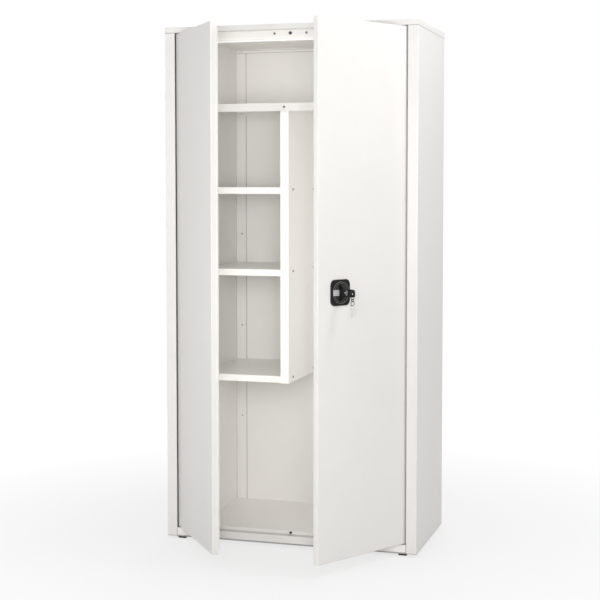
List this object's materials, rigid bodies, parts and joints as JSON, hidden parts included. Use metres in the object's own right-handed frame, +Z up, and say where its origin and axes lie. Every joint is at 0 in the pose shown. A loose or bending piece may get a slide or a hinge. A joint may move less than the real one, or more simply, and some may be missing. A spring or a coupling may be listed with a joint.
{
  "type": "utility cabinet",
  "caption": "Tall free-standing folded-steel utility cabinet with hinged doors, full-width hat shelf, half-width shelves beside a tall bay, and a turn-handle rod lock.",
  "frame": {"origin": "on the ground, in the middle of the body's footprint, doors not counted", "axes": "+Z up, -Y out of the door side, +X to the right seen from the front; doors stored open as in the picture"},
  "size_m": [0.9, 0.79, 1.8],
  "materials": {
    "shell_steel": "satin",
    "inner_steel": "satin",
    "door_steel": "satin",
    "plated_steel": "satin",
    "grey_rubber": "matte",
    "black_foot": "matte",
    "black_lock": "satin",
    "grey_pad": "matte",
    "chrome_barrel": "polished",
    "black_key": "satin",
    "ring_wire": "satin",
    "key_steel": "satin"
  },
  "bodies": {
    "cabinet": {"left_side_panel": "shell_steel", "right_side_panel": "shell_steel", "top_cap": "shell_steel", "top_front_rail": "shell_steel", "bottom_sill": "shell_steel", "back_panel": "inner_steel", "ceiling_panel": "inner_steel", "floor_panel": "inner_steel", "inner_side_wall": "inner_steel", "shelf_divider": "inner_steel", "hat_shelf": "inner_steel", "upper_shelf": "inner_steel", "middle_shelf": "inner_steel", "lower_shelf": "inner_steel", "divider_brackets": "inner_steel", "upper_buffer": "grey_rubber", "lower_buffer": "grey_rubber", "front_left_foot": "black_foot", "front_right_foot": "black_foot", "rear_left_foot": "black_foot", "rear_right_foot": "black_foot", "left_hinge_arms": "plated_steel", "right_hinge_arms": "plated_steel"},
    "left_door": {"left_door_panel": "door_steel", "left_door_stiffener": "door_steel", "left_hinge_clips": "plated_steel", "door_stop_strip": "door_steel"},
    "right_door": {"right_door_panel": "door_steel", "right_door_stiffener": "door_steel", "right_hinge_clips": "plated_steel", "lock_plate": "black_lock", "plain_pad": "grey_pad", "lock_case": "plated_steel", "rod_guides": "plated_steel"},
    "handle": {"turn_handle": "black_lock", "handle_spindle": "plated_steel", "drive_pinion": "plated_steel", "lock_barrel": "chrome_barrel"},
    "upper_rod": {"upper_lock_rod": "plated_steel"},
    "lower_rod": {"lower_lock_rod": "plated_steel"},
    "key": {"lock_core": "key_steel", "key_blade": "key_steel", "key_head": "black_key"},
    "key_ring": {"upper_ring": "ring_wire", "middle_link": "ring_wire", "lower_ring": "ring_wire", "spare_key": "key_steel"}
  },
  "joints": [
    {"name": "left_door_hinge", "type": "hinge", "parent": "cabinet", "child": "left_door", "pos_m": [-0.403, -0.218, 0.9], "axis": [0, 0, -1], "range_deg": [-52.4, 57.6]},
    {"name": "right_door_hinge", "type": "hinge", "parent": "cabinet", "child": "right_door", "pos_m": [0.403, -0.218, 0.9], "axis": [0, 0, 1], "range_deg": [-59.1, 50.9]},
    {"name": "handle_turn", "type": "hinge", "parent": "right_door", "child": "handle", "pos_m": [0.24294, -0.47766, 0.911], "axis": [-0.8581, 0.5135, 0], "range_deg": [0, 90]},
    {"name": "upper_rod_slide", "type": "slide", "parent": "right_door", "child": "upper_rod", "axis": [0, 0, 1], "range_m": [0, 0.01885]},
    {"name": "lower_rod_slide", "type": "slide", "parent": "right_door", "child": "lower_rod", "axis": [0, 0, -1], "range_m": [0, 0.01885]},
    {"name": "key_turn", "type": "hinge", "parent": "handle", "child": "key", "pos_m": [0.24294, -0.47766, 0.911], "axis": [-0.8581, 0.5135, 0], "range_deg": [0, 90]},
    {"name": "key_ring_swing", "type": "hinge", "parent": "key", "child": "key_ring", "pos_m": [0.30172, -0.51283, 0.9045], "axis": [0.5135, 0.8581, 0], "range_deg": [-25, 25]}
  ],
  "couplings": [
    {"joint": "handle_turn", "follows": "upper_rod_slide", "rad_per_m": 83.333},
    {"joint": "lower_rod_slide", "follows": "upper_rod_slide", "ratio": 1}
  ]
}
